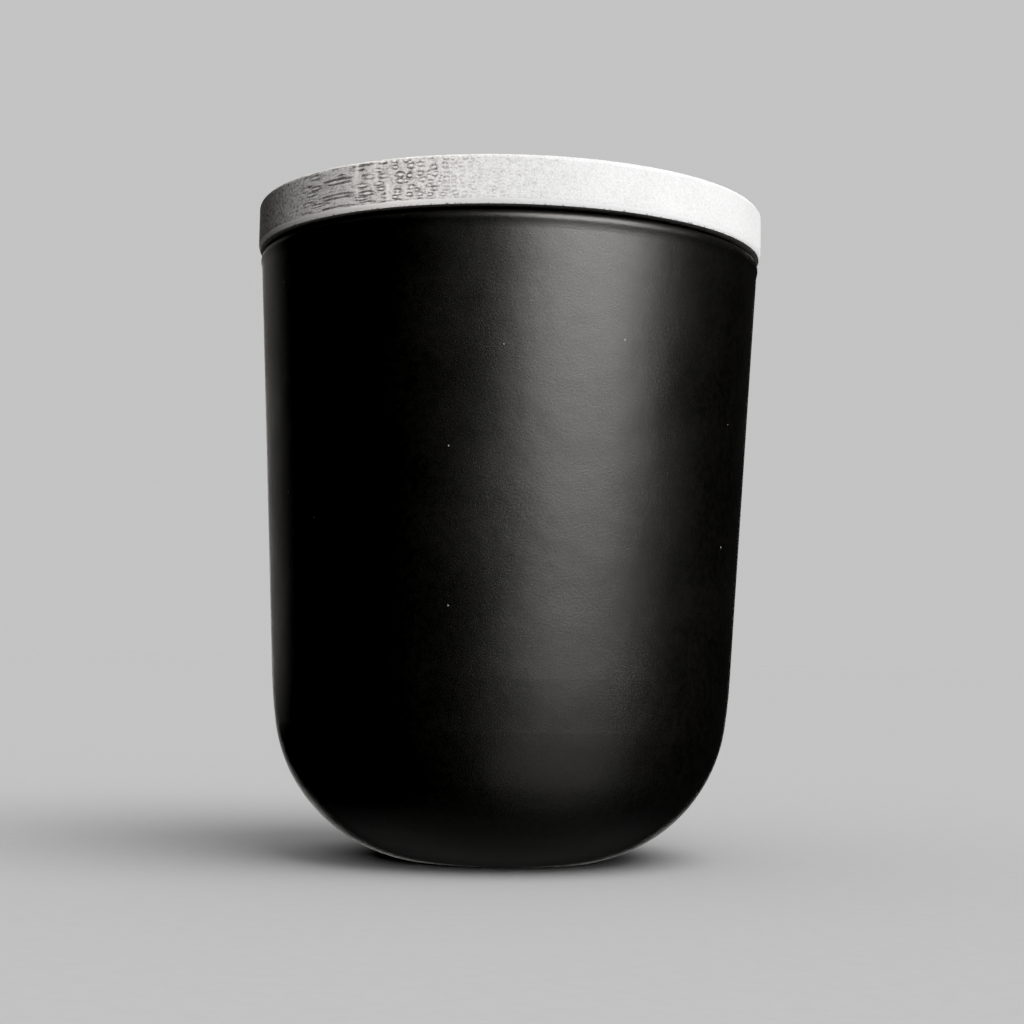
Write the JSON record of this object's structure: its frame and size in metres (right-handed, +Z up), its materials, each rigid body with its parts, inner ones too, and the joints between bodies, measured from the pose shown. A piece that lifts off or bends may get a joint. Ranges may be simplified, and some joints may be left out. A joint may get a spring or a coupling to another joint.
{
  "type": "candle jar",
  "caption": "Rounded-bottom coated glass candle jar with a bamboo lid whose plug and silicone seal drop into the mouth.",
  "frame": {"origin": "centre of the foot, on the surface the jar stands on", "axes": "+Z up along the jar's axis; the lid's bamboo strips run 40 degrees from +X towards -Y"},
  "size_m": [0.082, 0.082, 0.104],
  "materials": {
    "coated_glass": "satin black sprayed coat outside, gloss black inside",
    "silicone": "milky translucent silicone",
    "bamboo": "sanded and white-washed bamboo"
  },
  "bodies": {
    "vessel": {"glass_vessel": "coated_glass"},
    "seal": {"seal_ring": "silicone"},
    "lid": {"lid_strip_1": "bamboo", "lid_strip_2": "bamboo", "lid_strip_3": "bamboo", "lid_strip_4": "bamboo", "plug_strip_1": "bamboo", "plug_strip_2": "bamboo", "plug_strip_3": "bamboo", "plug_strip_4": "bamboo", "plug_strip_5": "bamboo"}
  },
  "joints": [
    {"name": "lid_lift", "type": "slide", "parent": "vessel", "child": "seal", "axis": [0, 0, 1], "range_m": [0, 0.06]},
    {"name": "lid_turn", "type": "hinge", "parent": "seal", "child": "lid", "pos_m": [0, 0, 0.0968], "axis": [0, 0, 1], "continuous": true}
  ]
}
